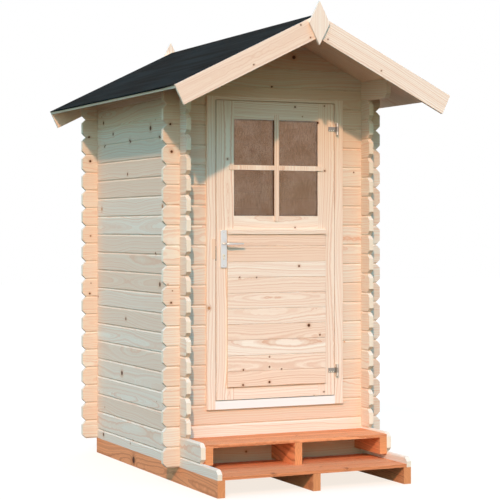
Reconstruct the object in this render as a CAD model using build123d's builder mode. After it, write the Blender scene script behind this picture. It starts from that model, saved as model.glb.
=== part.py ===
"""Garden outhouse of interlocking machined logs: a raised room behind a half-glazed door, reached by two
steps, under a gable roof with a deep front overhang. Millimetres, +X to the right along the front, +Y to
the back, +Z up. The origin is on the ground, under the middle of the walls."""

import os
from math import ceil, cos, radians, sin, tan

from build123d import *

# ---- Walls ----
outer_width = 1196.0  # over the outer faces of the side walls
outer_depth = 1430.0  # over the outer faces of the front and back walls
log_thickness = 28.0
log_height = 114.0  # height that one log covers
tail = 100.0  # how far each log runs on past the wall it crosses
tail_chamfer = 25.0  # corner cut off the end of each log
arris_height = 8.0  # bevel along each long edge of a log, up its face
arris_depth = 5.0  # the same bevel, into its thickness
notch_play = 0.3  # side clearance of a corner notch

# ---- Joists and steps ----
joist_width = 45.0
joist_height = 95.0
joist_reach_front = 535.0  # from the front wall's face to the joists' front ends
joist_inset_back = 14.0
step_log_reach = 308.0
tread_thickness = 18.0
tread_board_width = 100.0  # a step has as many boards of about this width as fill its depth
tread_gap = 5.0
lower_tread_depth = 470.0  # from the joists' front ends, so that it stops short of the wall
upper_tread_top = 161.0  # above the joists
spacer_width = 45.0
spacer_height = 95.0

# ---- Floor ----
floor_top = 345.0  # above the joists
floor_board_thickness = 18.0
floor_board_count = 14
floor_gap = 3.0
bearer_width = 45.0
bearer_height = 95.0

# ---- Roof ----
roof_pitch = 26.3  # degrees
eave_overhang = 252.0  # from a side wall's outer face out to the eave
eave_log_land = 8.7  # flat left on top of the highest side logs, inside the roof's bevel
overhang_front = 532.0
overhang_back = 170.0
roof_board_thickness = 19.0
roof_board_count = 22
roof_board_gap = 1.0
felt_thickness = 3.0
felt_lap = 4.0  # how far the felt stands past the boards at the eave
bargeboard_width = 116.0
bargeboard_thickness = 18.0
bargeboard_drop = 3.0  # its upper edge below the top of the felt
finial_width = 125.0
finial_height = 242.0
finial_thickness = 18.0
finial_rise = 15.0  # its middle above the middle of the bargeboards where they meet
ridge_purlin_width = 28.0
ridge_purlin_height = 45.0

# ---- Door frame ----
frame_width = 768.0  # clear width between the jambs
frame_base = 317.0  # above the joists
frame_head_under = 2088.0
frame_head_thickness = 20.0
jamb_thickness = 20.0
casing_width = 54.0
casing_thickness = 16.0
log_play = 10.0  # room for the wall logs to move behind the casing
stop_width = 12.0
threshold_top = 365.0
threshold_stop_height = 15.0
strike_width = 22.0
strike_height = 114.0
strike_thickness = 2.0

# ---- Door leaf ----
door_gap = 5.0
leaf_thickness = 30.0
leaf_proud = 19.0  # its face in front of the wall's face
stile_width = 109.0
top_rail_height = 103.0
glass_bottom = 1424.0  # above the joists
mid_rail_height = 124.0
bottom_rail_height = 108.0
board_count = 10
board_pitch = 89.7
board_bottom = 442.0
board_thickness = 12.0
board_gap = 1.0
board_bevel = 2.0  # along the long front edges of each board
panel_inset = 64.0  # from the leaf's edge to the ends of the boards
strip_height = 32.0
strip_top = 1350.5
strip_proud = 8.0  # in front of the boards
bar_width = 28.0
bar_end_radius = 9.0
bar_thickness = 7.0
bar_lap = 32.0  # how far a glazing bar lies over the frame
glass_thickness = 4.0
glass_setback = 7.0  # from the leaf's front face to the middle of the pane
glass_seat = 6.0  # depth that the glass sits in its groove
glass_play = 0.5

# ---- Door furniture ----
plate_width = 40.0
plate_height = 215.0
plate_thickness = 8.0
plate_corner = 4.0
plate_top = 1342.0
plate_backset = 43.0  # from the leaf's edge to the middle of the plate
spindle_drop = 78.0  # below the top of the plate
cylinder_drop = 152.0
cylinder_radius = 9.0
cylinder_proud = 4.0
spindle_radius = 5.0
spindle_play = 0.3
neck_radius = 9.0
neck_length = 52.0  # from the plate to the far side of the lever
neck_gap = 1.0  # between the neck and the plate
lever_length = 106.0
lever_radius = 8.0
lower_hinge_level = 516.0
upper_hinge_level = 1937.0
hinge_height = 70.0
hinge_radius = 7.5
hinge_knuckle = 28.0  # height of the leaf's knuckle, between the two of the frame
hinge_knuckle_gap = 1.0
hinge_pin_radius = 3.5
hinge_play = 0.3
hinge_from_leaf = 16.0  # the axis, beside the leaf's edge
hinge_proud = 28.0  # the axis, in front of the wall's face
hinge_strap_length = 40.0  # from the leaf's edge
hinge_strap_height = 26.0
hinge_strap_thickness = 3.0

# ---- Worked out from the sizes above ----
half_width = outer_width / 2
half_depth = outer_depth / 2
inner_half_width = half_width - log_thickness
inner_half_depth = half_depth - log_thickness
base = joist_height  # level of the lowest logs' undersides
front_face = -half_depth
joist_front = front_face - joist_reach_front
step_front = front_face - step_log_reach
slope = tan(radians(roof_pitch))
slope_cos = cos(radians(roof_pitch))
slope_sin = sin(radians(roof_pitch))
eave_reach = half_width + eave_overhang
frame_half_width = frame_width / 2
frame_head_top = frame_head_under + frame_head_thickness
wall_courses = ceil(frame_head_top / log_height)  # full logs in the front and back walls, below the gables
ridge_underside = (wall_courses + 0.5) * log_height + (inner_half_width + eave_log_land) * slope
log_end_at_frame = frame_half_width + jamb_thickness + log_play
casing_half_width = frame_half_width + casing_width
leaf_half_width = frame_half_width - door_gap
leaf_bottom = base + threshold_top + door_gap
leaf_top = base + frame_head_under - door_gap
leaf_front = front_face - leaf_proud
leaf_back = leaf_front + leaf_thickness
glass_half_width = leaf_half_width - stile_width
boards_front = leaf_front - board_thickness
panel_half_width = leaf_half_width - panel_inset
roof_front = front_face - overhang_front
roof_back = half_depth + overhang_back
hinge_x = leaf_half_width + hinge_from_leaf
hinge_y = front_face - hinge_proud
hinge_levels = (lower_hinge_level, upper_hinge_level)

os.makedirs("parts", exist_ok=True)


def save(piece, name):
    """Labels a finished piece and writes its file."""
    piece.part.label = name
    export_step(piece.part, f"parts/{name}.step")


def roof_underside(x):
    """Level of the roof boards' underside at a distance x from the ridge line."""
    return base + ridge_underside - abs(x) * slope


def course(number):
    """Underside of a full log in the front and back walls."""
    return base + number * log_height


def side_course(number):
    """Underside of a full log in the side walls, half a log up."""
    return base + (number + 0.5) * log_height


def long_log(ends, bottom, height, start_cut=True, end_cut=True, notched=(True, True), crossings=()):
    """One log along X, its back face on the XZ plane and its front face one thickness in front. The end
    corners are cut off, the long edges are bevelled, and each crossing takes a quarter of a log's height
    out of the notched edges, below and above."""
    start, end = ends
    top = bottom + height
    with BuildPart() as piece:
        with BuildSketch(Plane.XZ):
            with BuildLine():
                corners = [(start, bottom), (end, bottom), (end, top), (start, top)]
                Polyline(*corners, close=True)
            make_face()
            cut = [v for v in vertices() if (v.X < start + 1 and start_cut) or (v.X > end - 1 and end_cut)]
            if height < log_height:
                cut = [v for v in cut if v.Y > bottom + 1]
            if cut:
                chamfer(cut, length=tail_chamfer)
        extrude(amount=log_thickness)
        for face in (piece.faces().sort_by(Axis.Y)[0], piece.faces().sort_by(Axis.Y)[-1]):
            for level in (bottom, top):
                if level == bottom and height < log_height:
                    continue
                edge = face.edges().filter_by(Axis.X).sort_by(Axis.Z)[0 if level == bottom else -1]
                chamfer(edge, length=arris_height, length2=arris_depth, reference=face)
        for middle in crossings:
            levels = []
            if notched[0]:
                levels.append(bottom + log_height / 8)
            if notched[1]:
                levels.append(top - log_height / 8)
            with Locations(*[(middle, -log_thickness / 2, level) for level in levels]):
                Box(log_thickness + 2 * notch_play, log_thickness, log_height / 4, mode=Mode.SUBTRACT)
    return piece.part


def front_piece(number, side):
    """The part of a front wall log on one side of the doorway: side is -1 for left and 1 for right."""
    outer = half_width + tail
    ends = (-outer, -log_end_at_frame) if side < 0 else (log_end_at_frame, outer)
    crossing = side * (half_width - log_thickness / 2)
    return long_log(ends, course(number), log_height, side < 0, side > 0, crossings=(crossing,))


def cross_log(number):
    """A log over the whole width of the front or back wall."""
    outer = half_width + tail
    middle = half_width - log_thickness / 2
    return long_log((-outer, outer), course(number), log_height, crossings=(-middle, middle))


def gable_log(number):
    """A gable log before it is cut to the roof. Only the lowest one meets the side walls."""
    outer = half_width + tail
    middle = half_width - log_thickness / 2
    crossings = (-middle, middle) if number == wall_courses else ()
    return long_log((-outer, outer), course(number), log_height, False, False, (True, False), crossings)


def side_log(bottom, height, start, notched=(True, True)):
    """A side wall log, drawn along X; it is turned to run front to back when it is placed."""
    middle = half_depth - log_thickness / 2
    return long_log((start, half_depth + tail), bottom, height, notched=notched, crossings=(-middle, middle))


def roof_space():
    """Everything above the underside of the roof boards."""
    far = 2 * half_width
    with BuildPart() as space:
        with BuildSketch(Plane.XZ):
            with BuildLine():
                eave = (far, roof_underside(far))
                Polyline(
                    (0, roof_underside(0)), eave, (far, 2 * roof_underside(0)),
                    (-far, 2 * roof_underside(0)), (-far, roof_underside(far)), close=True,
                )
            make_face()
        extrude(amount=2 * half_depth, both=True)
    return space.part


above_roof = roof_space()


def save_logs(name, logs, shift=(0.0, 0.0), turn=0.0, roofed=False):
    """Puts logs that don't touch each other into one piece, places them, and trims them to the roof."""
    with BuildPart() as node:
        with Locations(Location((shift[0], shift[1], 0), (0, 0, turn))):
            add(logs)
        if roofed:
            add(above_roof, mode=Mode.SUBTRACT)
    save(node, name)


# ---- Front wall: full logs under the doorway, short ones beside it, full ones over it ----
doorway_half = log_end_at_frame
front_shift = (0.0, -inner_half_depth)
sill_course = int(frame_base // log_height)
head_course = int(frame_head_top // log_height)

with BuildPart() as front_bottom_a:
    with Locations((0, -inner_half_depth, 0)):
        add([cross_log(number) for number in range(0, sill_course + 1, 2)])
    with Locations((0, -inner_half_depth - log_thickness / 2, base + frame_base)):
        Box(2 * doorway_half, log_thickness, log_height, align=(Align.CENTER, Align.CENTER, Align.MIN),
            mode=Mode.SUBTRACT)
save(front_bottom_a, "front_wall_bottom_a")
save_logs("front_wall_bottom_b", [cross_log(number) for number in range(1, sill_course + 1, 2)], front_shift)

for side, word in ((-1, "left"), (1, "right")):
    for first, letter in ((sill_course + 2, "a"), (sill_course + 1, "b")):
        pieces = [front_piece(number, side) for number in range(first, head_course, 2)]
        save_logs(f"front_wall_{word}_{letter}", pieces, front_shift)

purlin_notch_width = ridge_purlin_width + 2 * notch_play
purlin_bottom = base + ridge_underside - ridge_purlin_height


def cut_purlin_notch():
    """Lets the ridge purlin through the top log of both gables."""
    with Locations((0, 0, purlin_bottom - notch_play)):
        Box(purlin_notch_width, 2 * outer_depth, log_height, align=(Align.CENTER, Align.CENTER, Align.MIN),
            mode=Mode.SUBTRACT)


gable_top = int((ridge_underside - log_height / 4) // log_height)

with BuildPart() as front_gable_a:
    with Locations((0, -inner_half_depth, 0)):
        add(cross_log(head_course))
        add([gable_log(number) for number in range(head_course + 2, gable_top + 1, 2)])
    add(above_roof, mode=Mode.SUBTRACT)
    with Locations((0, -inner_half_depth - log_thickness / 2, base + frame_head_top)):
        Box(2 * doorway_half, log_thickness, log_height, align=(Align.CENTER, Align.CENTER, Align.MAX),
            mode=Mode.SUBTRACT)
save(front_gable_a, "front_gable_a")

with BuildPart() as front_gable_b:
    with Locations((0, -inner_half_depth, 0)):
        add([gable_log(number) for number in range(head_course + 1, gable_top + 1, 2)])
    add(above_roof, mode=Mode.SUBTRACT)
    cut_purlin_notch()
save(front_gable_b, "front_gable_b")

# ---- Back wall ----
with BuildPart() as back_wall_a:
    with Locations((0, half_depth, 0)):
        add([cross_log(number) for number in range(0, wall_courses, 2)])
        add([gable_log(number) for number in range(wall_courses + 1, gable_top + 1, 2)])
    add(above_roof, mode=Mode.SUBTRACT)
save(back_wall_a, "back_wall_a")

with BuildPart() as back_wall_b:
    with Locations((0, half_depth, 0)):
        add([cross_log(number) for number in range(1, wall_courses, 2)])
        add([gable_log(number) for number in range(wall_courses, gable_top + 1, 2)])
    add(above_roof, mode=Mode.SUBTRACT)
    cut_purlin_notch()
save(back_wall_b, "back_wall_b")

# ---- Side walls: a half log at the bottom sets them half a log up ----
side_start = -half_depth - tail
half_log = side_log(base, log_height / 2, joist_front, (False, True))
step_log = side_log(side_course(0), log_height, step_front)
eave_log = side_log(side_course(wall_courses - 1), log_height, step_front)
plain_side_logs = [side_log(side_course(number), log_height, side_start) for number in range(1, wall_courses - 1)]

for word, shift in (("left", -half_width), ("right", inner_half_width)):
    save_logs(f"{word}_wall_a", plain_side_logs[1::2], (shift, 0.0), 90)
    save_logs(f"{word}_wall_b", plain_side_logs[0::2], (shift, 0.0), 90)

for name, piece in (("sill_logs", half_log), ("step_logs", step_log), ("eave_logs", eave_log)):
    with BuildPart() as pair:
        with Locations(Location((-half_width, 0, 0), (0, 0, 90)), Location((inner_half_width, 0, 0), (0, 0, 90))):
            add(piece)
        add(above_roof, mode=Mode.SUBTRACT)
    save(pair, name)

# ---- Joists ----
joist_length = half_depth - joist_inset_back - joist_front
with BuildPart() as joists:
    edge = half_width - joist_width / 2
    with Locations((-edge, joist_front, 0), (0, joist_front, 0), (edge, joist_front, 0)):
        Box(joist_width, joist_length, joist_height, align=(Align.CENTER, Align.MIN, Align.MIN))
save(joists, "joists")

# ---- Steps: boards between the side logs, the upper ones on spacers ----
tread_length = 2 * inner_half_width - 1.0
upper_tread_bottom = base + upper_tread_top - tread_thickness


def tread(name, front, back, bottom):
    """A step of boards laid side by side with gaps between them."""
    count = round((back - front) / (tread_board_width + tread_gap))
    board = (back - front - (count - 1) * tread_gap) / count
    with BuildPart() as boards:
        with Locations((0, (front + back) / 2, bottom)):
            with GridLocations(0, board + tread_gap, 1, count):
                Box(tread_length, board, tread_thickness, align=(Align.CENTER, Align.CENTER, Align.MIN))
    save(boards, name)


tread("lower_tread", joist_front, joist_front + lower_tread_depth, base)
tread("upper_tread", step_front, front_face, upper_tread_bottom)

with BuildPart() as tread_spacers:
    outer_spacer = inner_half_width - spacer_width / 2
    with Locations((-outer_spacer, step_front, upper_tread_bottom), (outer_spacer, step_front, upper_tread_bottom)):
        Box(spacer_width, step_log_reach, spacer_height, align=(Align.CENTER, Align.MIN, Align.MAX))
    middle_height = upper_tread_bottom - base - tread_thickness
    with Locations((0, step_front, upper_tread_bottom)):
        Box(spacer_width, step_log_reach, middle_height, align=(Align.CENTER, Align.MIN, Align.MAX))
save(tread_spacers, "tread_spacers")

# ---- Raised floor ----
bearer_top = base + floor_top - floor_board_thickness
inner_length = 2 * inner_half_depth
with BuildPart() as floor_bearers:
    outer_bearer = inner_half_width - bearer_width / 2
    with Locations((-outer_bearer, 0, bearer_top), (0, 0, bearer_top), (outer_bearer, 0, bearer_top)):
        Box(bearer_width, inner_length, bearer_height, align=(Align.CENTER, Align.CENTER, Align.MAX))
save(floor_bearers, "floor_bearers")

floor_board = (inner_length - (floor_board_count + 1) * floor_gap) / floor_board_count
with BuildPart() as floor_boards:
    with Locations((0, 0, bearer_top)):
        with GridLocations(0, floor_board + floor_gap, 1, floor_board_count):
            Box(2 * (inner_half_width - floor_gap), floor_board, floor_board_thickness,
                align=(Align.CENTER, Align.CENTER, Align.MIN))
save(floor_boards, "floor_boards")

# ---- Roof ----
roof_length = roof_back - roof_front
roof_board = (roof_length - (roof_board_count - 1) * roof_board_gap) / roof_board_count
roof_middle = (roof_front + roof_back) / 2


def slope_band(inner, outer, reach):
    """Profile of one roof slope between two heights above the boards' underside, square to the slope, from
    the ridge line out to the eave, where it is cut square."""
    ridge = base + ridge_underside
    eave_x = reach - (roof_board_thickness + felt_thickness) * slope_sin
    eave_z = ridge - eave_x * slope
    return [
        (0, ridge + inner / slope_cos),
        (0, ridge + outer / slope_cos),
        (eave_x + outer * slope_sin, eave_z + outer * slope_cos),
        (eave_x + inner * slope_sin, eave_z + inner * slope_cos),
    ]


board_profile = slope_band(0, roof_board_thickness, eave_reach)
with BuildPart() as roof_boards_right:
    with BuildSketch(Plane.XZ):
        with BuildLine():
            Polyline(*board_profile, close=True)
        make_face()
    extrude(amount=roof_board / 2, both=True)
one_roof_board = roof_boards_right.part

for word, turn in (("right", 0), ("left", 180)):
    with BuildPart() as slope_boards:
        with Locations(Location((0, roof_middle, 0), (0, 0, turn))):
            with GridLocations(0, roof_board + roof_board_gap, 1, roof_board_count):
                add(one_roof_board)
    save(slope_boards, f"roof_boards_{word}")

felt_profile = slope_band(roof_board_thickness, roof_board_thickness + felt_thickness, eave_reach + felt_lap)
with BuildPart() as roofing_felt:
    with BuildSketch(Plane.XZ.offset(-roof_middle)):
        with BuildLine():
            Polyline(*felt_profile, close=True)
        make_face()
        mirror(about=Plane.YZ)
    extrude(amount=roof_length / 2, both=True)
save(roofing_felt, "roofing_felt")

with BuildPart() as ridge_purlin:
    with BuildSketch(Plane.XZ.offset(-roof_middle)):
        with Locations((0, purlin_bottom)):
            Rectangle(ridge_purlin_width, ridge_purlin_height, align=(Align.CENTER, Align.MIN))
    extrude(amount=roof_length / 2, both=True)
    add(above_roof, mode=Mode.SUBTRACT)
save(ridge_purlin, "ridge_purlin")

bargeboard_top = roof_board_thickness + felt_thickness - bargeboard_drop
bargeboard_profile = slope_band(bargeboard_top - bargeboard_width, bargeboard_top, eave_reach)
with BuildPart() as bargeboard:
    with BuildSketch(Plane.XZ):
        with BuildLine():
            Polyline(*bargeboard_profile, close=True)
        make_face()
    extrude(amount=bargeboard_thickness / 2, both=True)
one_bargeboard = bargeboard.part
bargeboard_places = (roof_front - bargeboard_thickness / 2, roof_back + bargeboard_thickness / 2)

for word, turn in (("right", 0), ("left", 180)):
    with BuildPart() as bargeboards:
        with Locations(*[Location((0, y, 0), (0, 0, turn)) for y in bargeboard_places]):
            add(one_bargeboard)
    save(bargeboards, f"bargeboards_{word}")

finial_middle = base + ridge_underside + (bargeboard_top - bargeboard_width / 2) / slope_cos + finial_rise
with BuildPart() as finials:
    for y in (roof_front - bargeboard_thickness, roof_back + bargeboard_thickness + finial_thickness):
        with BuildSketch(Plane((0, y, finial_middle), x_dir=(1, 0, 0), z_dir=(0, -1, 0))):
            with BuildLine():
                Polyline(
                    (finial_width / 2, 0), (0, finial_height / 2),
                    (-finial_width / 2, 0), (0, -finial_height / 2), close=True,
                )
            make_face()
        extrude(amount=finial_thickness)
save(finials, "finials")

# ---- Door frame: jambs that take the log ends in a groove, a head, and a threshold ----
casing_front = front_face - casing_thickness
frame_back = front_face + log_thickness + casing_thickness
stop_front = leaf_back + door_gap


def cut_for_floor():
    """Behind the wall the frame stands on the floor boards."""
    with Locations((0, front_face + log_thickness, base + floor_top)):
        Box(4 * half_width, log_thickness, 2 * log_height, align=(Align.CENTER, Align.MIN, Align.MAX),
            mode=Mode.SUBTRACT)


with BuildPart() as door_jambs:
    with BuildSketch(Plane.XY.offset(base + frame_base)):
        with BuildLine():
            Polyline(
                (frame_half_width, casing_front), (casing_half_width, casing_front),
                (casing_half_width, front_face), (frame_half_width + jamb_thickness, front_face),
                (frame_half_width + jamb_thickness, front_face + log_thickness),
                (casing_half_width, front_face + log_thickness), (casing_half_width, frame_back),
                (frame_half_width - stop_width, frame_back), (frame_half_width - stop_width, stop_front),
                (frame_half_width, stop_front), close=True,
            )
        make_face()
        mirror(about=Plane.YZ)
    extrude(amount=frame_head_top - frame_base)
    cut_for_floor()
save(door_jambs, "door_jambs")

stop_half_width = frame_half_width - stop_width
with BuildPart() as door_head:
    for half, start, end, low in (
        (frame_half_width, casing_front, stop_front, frame_head_under),
        (stop_half_width, stop_front, frame_back, frame_head_under - stop_width),
    ):
        with Locations((0, start, base + frame_head_top)):
            Box(2 * half, end - start, frame_head_top - low, align=(Align.CENTER, Align.MIN, Align.MAX))
save(door_head, "door_head")

with BuildPart() as threshold:
    for half, start, end, top in (
        (frame_half_width, casing_front, stop_front, threshold_top),
        (stop_half_width, stop_front, frame_back, threshold_top + threshold_stop_height),
    ):
        with Locations((0, start, base + frame_base)):
            Box(2 * half, end - start, top - frame_base, align=(Align.CENTER, Align.MIN, Align.MIN))
    cut_for_floor()
save(threshold, "threshold")

handle_level = base + plate_top - spindle_drop
with BuildPart() as strike_plate:
    with Locations((-frame_half_width, casing_front, base + plate_top - plate_height / 2)):
        Box(strike_width, strike_thickness, strike_height, align=(Align.MAX, Align.MAX, Align.CENTER))
save(strike_plate, "strike_plate")

# ---- Door leaf ----
glass_top = leaf_top - top_rail_height
glass_low = base + glass_bottom
leaf_middle_y = leaf_front + leaf_thickness / 2
glass_middle_y = leaf_front + glass_setback
groove_half_width = glass_half_width + glass_seat + glass_play
spindle_x = plate_backset - leaf_half_width


def cut_glass_groove():
    """A groove all round the glass, in the stiles and rails."""
    height = glass_top - glass_low + 2 * (glass_seat + glass_play)
    with Locations((0, glass_middle_y, (glass_top + glass_low) / 2)):
        Box(2 * groove_half_width, glass_thickness + 2 * glass_play, height, mode=Mode.SUBTRACT)


with BuildPart() as door_stiles:
    for side in (-1, 1):
        with Locations((side * (leaf_half_width - stile_width / 2), leaf_middle_y, leaf_bottom)):
            Box(stile_width, leaf_thickness, leaf_top - leaf_bottom, align=(Align.CENTER, Align.CENTER, Align.MIN))
    cut_glass_groove()
    with Locations(Plane((spindle_x, leaf_middle_y, handle_level), z_dir=(0, 1, 0))):
        Cylinder(spindle_radius + spindle_play, leaf_thickness, mode=Mode.SUBTRACT)
save(door_stiles, "door_stiles")

with BuildPart() as door_rails:
    for bottom, height in (
        (glass_top, top_rail_height),
        (glass_low - mid_rail_height, mid_rail_height),
        (leaf_bottom, bottom_rail_height),
    ):
        with Locations((0, leaf_middle_y, bottom)):
            Box(2 * glass_half_width, leaf_thickness, height, align=(Align.CENTER, Align.CENTER, Align.MIN))
    cut_glass_groove()
save(door_rails, "door_rails")

with BuildPart() as door_glass:
    height = glass_top - glass_low + 2 * glass_seat
    with Locations((0, glass_middle_y, (glass_top + glass_low) / 2)):
        Box(2 * (glass_half_width + glass_seat), glass_thickness, height)
save(door_glass, "door_glass")

with BuildPart() as door_boards:
    with Locations(*[(0, leaf_front, base + board_bottom + row * board_pitch) for row in range(board_count)]):
        Box(2 * panel_half_width, board_thickness, board_pitch - board_gap,
            align=(Align.CENTER, Align.MAX, Align.MIN))
    long_edges = door_boards.edges().filter_by(Axis.X).group_by(Axis.Y)[0]
    chamfer(long_edges, length=board_bevel)
save(door_boards, "door_boards")

board_top = base + board_bottom + board_count * board_pitch
with BuildPart() as weather_strip:
    top = base + strip_top
    with BuildSketch(Plane.YZ):
        with BuildLine():
            Polyline(
                (leaf_front, top), (boards_front - strip_proud, top - strip_height / 4),
                (boards_front - strip_proud, top - strip_height), (boards_front, top - strip_height),
                (boards_front, board_top), (leaf_front, board_top), close=True,
            )
        make_face()
    extrude(amount=panel_half_width, both=True)
save(weather_strip, "weather_strip")

with BuildPart() as glazing_bars:
    middle = (glass_top + glass_low) / 2
    for y, way in ((leaf_front, -1), (leaf_back, 1)):
        with BuildSketch(Plane((0, y, middle), x_dir=(1, 0, 0), z_dir=(0, way, 0))):
            RectangleRounded(bar_width, glass_top - glass_low + 2 * bar_lap, bar_end_radius)
            RectangleRounded(2 * (glass_half_width + bar_lap), bar_width, bar_end_radius)
        extrude(amount=bar_thickness)
save(glazing_bars, "glazing_bars")

# ---- Handle and lock ----
plate_middle = base + plate_top - plate_height / 2
with BuildPart() as handle_plates:
    for y, way in ((leaf_front, -1), (leaf_back, 1)):
        with BuildSketch(Plane((spindle_x, y, plate_middle), x_dir=(1, 0, 0), z_dir=(0, way, 0))):
            RectangleRounded(plate_width, plate_height, plate_corner)
            with Locations((0, (handle_level - plate_middle) * (1 if way < 0 else -1))):
                Circle(spindle_radius + spindle_play, mode=Mode.SUBTRACT)
        extrude(amount=plate_thickness)
save(handle_plates, "handle_plates")

cylinder_level = base + plate_top - cylinder_drop
with BuildPart() as lock_cylinder:
    for y, way in ((leaf_front - plate_thickness, -1), (leaf_back + plate_thickness, 1)):
        with BuildSketch(Plane((spindle_x, y, cylinder_level), x_dir=(1, 0, 0), z_dir=(0, way, 0))):
            Circle(cylinder_radius)
        extrude(amount=cylinder_proud)
save(lock_cylinder, "lock_cylinder")

neck_start = leaf_thickness / 2 + plate_thickness + neck_gap
neck_end = leaf_thickness / 2 + plate_thickness + neck_length
with BuildPart() as lever_handle:
    with BuildSketch(Plane((spindle_x, leaf_middle_y, handle_level), x_dir=(1, 0, 0), z_dir=(0, -1, 0))):
        Circle(spindle_radius)
    extrude(amount=neck_end, both=True)
    for way in (-1, 1):
        start_y = leaf_middle_y + way * neck_start
        with BuildSketch(Plane((spindle_x, start_y, handle_level), x_dir=(1, 0, 0), z_dir=(0, way, 0))):
            Circle(neck_radius)
        extrude(amount=neck_end - neck_start)
        arm_y = leaf_middle_y + way * (neck_end - lever_radius)
        with BuildSketch(Plane((spindle_x, arm_y, handle_level), x_dir=(0, 1, 0), z_dir=(1, 0, 0))):
            Circle(lever_radius)
        extrude(amount=lever_length)
        fillet(lever_handle.edges().group_by(Axis.X)[-1], radius=lever_radius * 0.6)
save(lever_handle, "lever_handle")

# ---- Hinges: the leaf's knuckle turns on a pin between the two knuckles of the frame's half ----
frame_knuckle = (hinge_height - hinge_knuckle) / 2 - hinge_knuckle_gap

with BuildPart() as hinge_leaf_halves:
    for level in hinge_levels:
        strap_start = leaf_half_width - hinge_strap_length
        with Locations((hinge_x, hinge_y, base + level)):
            Cylinder(hinge_radius, hinge_knuckle)
        with Locations((strap_start, leaf_front, base + level)):
            Box(hinge_x - strap_start, hinge_strap_thickness, hinge_strap_height,
                align=(Align.MIN, Align.MAX, Align.CENTER))
        with Locations((hinge_x, hinge_y, base + level)):
            Cylinder(hinge_pin_radius + hinge_play, hinge_knuckle, mode=Mode.SUBTRACT)
save(hinge_leaf_halves, "hinge_leaf_halves")

with BuildPart() as hinge_frame_halves:
    for level in hinge_levels:
        with Locations((hinge_x, hinge_y, base + level)):
            Cylinder(hinge_pin_radius, hinge_height - 2 * hinge_knuckle_gap)
        for way in (-1, 1):
            middle = base + level + way * (hinge_height - frame_knuckle) / 2
            with Locations((hinge_x, hinge_y, middle)):
                Cylinder(hinge_radius, frame_knuckle)
                Box(2 * hinge_radius, casing_front - hinge_y, frame_knuckle,
                    align=(Align.CENTER, Align.MIN, Align.CENTER))
save(hinge_frame_halves, "hinge_frame_halves")
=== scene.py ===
import math

import bpy
import numpy as np
from bpy.props import FloatProperty, FloatVectorProperty, PointerProperty
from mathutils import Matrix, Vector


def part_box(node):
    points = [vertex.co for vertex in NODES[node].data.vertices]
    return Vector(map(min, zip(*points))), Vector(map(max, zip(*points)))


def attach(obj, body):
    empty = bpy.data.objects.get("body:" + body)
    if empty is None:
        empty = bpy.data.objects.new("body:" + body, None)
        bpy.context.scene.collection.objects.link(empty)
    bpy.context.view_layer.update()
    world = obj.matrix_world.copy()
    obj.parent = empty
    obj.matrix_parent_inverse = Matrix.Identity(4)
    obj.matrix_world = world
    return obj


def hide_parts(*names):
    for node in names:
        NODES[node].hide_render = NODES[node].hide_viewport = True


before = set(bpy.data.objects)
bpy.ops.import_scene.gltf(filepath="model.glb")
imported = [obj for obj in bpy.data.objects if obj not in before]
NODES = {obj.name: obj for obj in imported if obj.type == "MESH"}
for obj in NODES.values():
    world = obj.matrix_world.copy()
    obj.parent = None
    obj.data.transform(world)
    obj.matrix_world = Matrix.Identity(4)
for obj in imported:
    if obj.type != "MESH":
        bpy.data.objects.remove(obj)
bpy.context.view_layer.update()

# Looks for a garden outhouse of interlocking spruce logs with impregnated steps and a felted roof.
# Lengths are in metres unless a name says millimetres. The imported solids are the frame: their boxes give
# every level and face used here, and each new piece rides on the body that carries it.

bl_info = {
    "name": "Log Outhouse Finish",
    "version": (1, 0, 0),
    "blender": (4, 5, 0),
    "location": "View3D > Sidebar > Outhouse",
    "description": "Finishes, fixings and studio for a small log outhouse",
    "category": "Object",
}


def millimetres(value):
    """A length in millimetres, in metres."""
    return value / 1000.0


def box(node):
    """Lowest and highest corner of a CAD node, as arrays."""
    low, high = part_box(node)
    return np.array(low), np.array(high)


# ---- Levels and faces, read from the frame ----
LOG_LOW, LOG_HIGH = box("front_wall_bottom_b")
LOG_COVER = LOG_HIGH[2] - LOG_LOW[2]  # height that one log covers
BASE = LOG_LOW[2] - LOG_COVER  # underside of the lowest logs
FRONT = LOG_LOW[1]  # outer face of the front wall
SIDE = box("right_wall_a")[1][0]  # outer face of the right wall
LOG_THICKNESS = LOG_HIGH[1] - LOG_LOW[1]


def linear(code):
    """Scene-linear colour of an sRGB hex code, by the usual sRGB curve."""
    values = [int(code[i:i + 2], 16) / 255 for i in (1, 3, 5)]
    return tuple(v / 12.92 if v <= 0.04045 else ((v + 0.055) / 1.055) ** 2.4 for v in values)


def add(tree, kind, inputs=None, **settings):
    """Adds a node with its settings. Each input, by number or name among the sockets in use, takes a value,
    or a link from a socket or from a node's first output in use."""
    node = tree.nodes.new(kind)
    for key, value in settings.items():
        setattr(node, key, value)
    used = [socket for socket in node.inputs if socket.enabled]
    for key, value in (inputs or {}).items():
        socket = used[key] if isinstance(key, int) else next(s for s in used if s.name == key)
        if isinstance(value, bpy.types.Node):
            value = next(s for s in value.outputs if s.enabled)
        if isinstance(value, bpy.types.NodeSocket):
            tree.links.new(value, socket)
        elif socket.type == "RGBA" and len(value) == 3:
            socket.default_value = (*value, 1.0)
        else:
            socket.default_value = value
    return node


def new_material(name):
    """An empty material, and its tree."""
    material = bpy.data.materials.new(name)
    material.use_nodes = True
    material.node_tree.nodes.clear()
    return material, material.node_tree


def dress(material, *nodes):
    """Gives a material to CAD nodes, in place of their own."""
    for name in nodes:
        slots = NODES[name].data.materials
        slots.clear()
        slots.append(material)


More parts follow.
